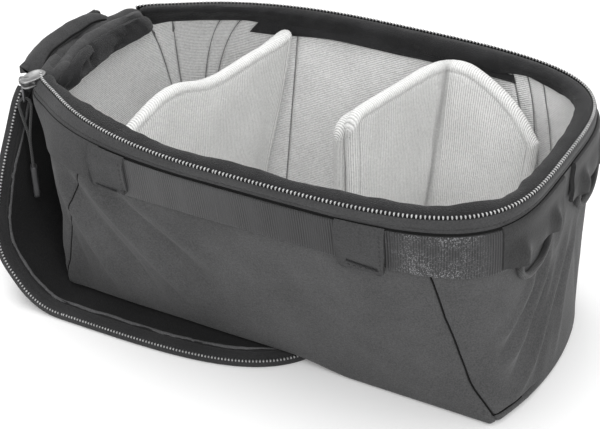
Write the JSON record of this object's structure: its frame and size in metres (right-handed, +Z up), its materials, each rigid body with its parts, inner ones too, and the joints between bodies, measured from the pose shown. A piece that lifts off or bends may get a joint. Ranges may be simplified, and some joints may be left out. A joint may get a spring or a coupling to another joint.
{
  "type": "padded camera bag insert",
  "caption": "Open padded insert with tapering walls, a zip-round lid folded under its base, folding dividers inside, webbing with sewn tabs, and cord loops at one end.",
  "frame": {"origin": "centre of the bounding box at the height of the surface the insert stands on", "axes": "+X from the lid's hinge to the far end, +Z up out of the open top, +Y from the panel with the zip slider to the other long panel"},
  "size_m": [0.3076, 0.1886, 0.1289],
  "materials": {
    "shell_cloth": "fine matt weave",
    "webbing_cloth": "ribbed weave",
    "zip_cloth": "zip tape",
    "teeth_metal": "satin coil",
    "slider_metal": "satin",
    "guard_pile": "short dark pile",
    "dark_lining": "dark smooth lining",
    "pale_lining": "pale brushed loop cloth",
    "divider_cloth": "off-white brushed loop cloth",
    "foam": "closed foam, hidden",
    "cord_cover": "round woven cord",
    "grip_rubber": "matt"
  },
  "bodies": {
    "bag": {"front_panel": "shell_cloth", "back_panel": "shell_cloth", "left_end_panel": "shell_cloth", "right_end_panel": "shell_cloth", "base_panel": "shell_cloth", "front_padding": "foam", "back_padding": "foam", "left_end_padding": "foam", "right_end_padding": "foam", "base_board": "foam", "front_lining": "pale_lining", "back_lining": "pale_lining", "left_end_lining": "pale_lining", "right_end_lining": "pale_lining", "base_lining": "pale_lining", "rim_tape": "zip_cloth", "rim_teeth": "teeth_metal", "rim_guard": "guard_pile", "hinge_strip": "shell_cloth", "hinge_fold": "guard_pile", "back_strip": "guard_pile", "front_webbing": "webbing_cloth", "back_webbing": "webbing_cloth", "front_left_tab": "shell_cloth", "front_right_tab": "shell_cloth", "front_end_tab": "shell_cloth", "back_left_tab": "shell_cloth", "back_right_tab": "shell_cloth", "back_end_tab": "shell_cloth"},
    "lid_near": {"lid_near_cover": "shell_cloth", "lid_near_padding": "foam", "lid_near_lining": "dark_lining", "lid_near_zip_front": "zip_cloth", "lid_near_zip_back": "zip_cloth"},
    "lid_corner": {"lid_corner_cover": "shell_cloth", "lid_corner_padding": "foam", "lid_corner_lining": "dark_lining", "lid_corner_zip_front": "zip_cloth", "lid_corner_zip_back": "zip_cloth"},
    "lid_far": {"lid_far_cover": "shell_cloth", "lid_far_padding": "foam", "lid_far_lining": "dark_lining", "lid_far_zip": "zip_cloth"},
    "slider": {"zip_slider": "slider_metal"},
    "pull_ring": {"pull_ring": "slider_metal"},
    "pull_strap": {"pull_strap": "cord_cover", "pull_grip": "grip_rubber"},
    "left_divider": {"left_divider": "divider_cloth"},
    "left_wing": {"left_divider_wing": "divider_cloth"},
    "right_divider": {"right_divider": "divider_cloth"},
    "right_front_wing": {"right_divider_front_wing": "divider_cloth"},
    "right_back_wing": {"right_divider_back_wing": "divider_cloth"},
    "front_loop": {"front_cord_loop": "cord_cover"},
    "back_loop": {"back_cord_loop": "cord_cover"}
  },
  "joints": [
    {"name": "lid_hinge", "type": "hinge", "parent": "bag", "child": "lid_near", "pos_m": [-0.15151, 0, 0.1309], "axis": [0, 1, 0], "range_deg": [0, 270]},
    {"name": "lid_near_fold", "type": "hinge", "parent": "lid_near", "child": "lid_corner", "pos_m": [-0.14921, 0, 0.03274], "axis": [0, 1, 0], "range_deg": [0, 45]},
    {"name": "lid_far_fold", "type": "hinge", "parent": "lid_corner", "child": "lid_far", "pos_m": [-0.12106, 0, 0.0046], "axis": [0, 1, 0], "range_deg": [0, 45]},
    {"name": "slider_run", "type": "hinge", "parent": "bag", "child": "slider", "pos_m": [-0.0588, 0.01231, 0.1255], "axis": [0, 0, 1], "range_deg": [0, 22.7]},
    {"name": "pull_ring_swing", "type": "hinge", "parent": "slider", "child": "pull_ring", "pos_m": [-0.14177, -0.0556, 0.1255], "axis": [-0.7738, -0.6334, 0], "range_deg": [0, 90]},
    {"name": "pull_strap_swing", "type": "hinge", "parent": "pull_ring", "child": "pull_strap", "pos_m": [-0.14177, -0.0556, 0.1095], "axis": [-0.7738, -0.6334, 0], "range_deg": [0, 60]},
    {"name": "left_divider_slide", "type": "slide", "parent": "bag", "child": "left_divider", "axis": [1, 0, 0], "range_m": [0, 0.012]},
    {"name": "left_wing_fold", "type": "hinge", "parent": "left_divider", "child": "left_wing", "pos_m": [-0.06401, 0.012, 0.06], "axis": [0, 0, 1], "range_deg": [0, 30]},
    {"name": "right_divider_slide", "type": "slide", "parent": "bag", "child": "right_divider", "axis": [1, 0, 0], "range_m": [-0.01, 0.005]},
    {"name": "right_front_wing_fold", "type": "hinge", "parent": "right_divider", "child": "right_front_wing", "pos_m": [0.02899, -0.007, 0.06], "axis": [0, 0, 1], "range_deg": [0, 180]},
    {"name": "right_back_wing_fold", "type": "hinge", "parent": "right_divider", "child": "right_back_wing", "pos_m": [0.04985, 0.04879, 0.0135], "axis": [-0.0435, -0.2047, -0.9779], "range_deg": [0, 60]},
    {"name": "front_loop_swing", "type": "hinge", "parent": "bag", "child": "front_loop", "pos_m": [0.15026, -0.03637, 0.0949], "axis": [-0.0854, -0.9964, 0], "range_deg": [0, 50]},
    {"name": "back_loop_swing", "type": "hinge", "parent": "bag", "child": "back_loop", "pos_m": [0.15026, 0.03637, 0.0949], "axis": [0.0854, -0.9964, 0], "range_deg": [0, 50]}
  ],
  "couplings": [
    {"joint": "lid_near_fold", "follows": "lid_hinge", "ratio": 0.16667},
    {"joint": "lid_far_fold", "follows": "lid_hinge", "ratio": 0.16667}
  ]
}
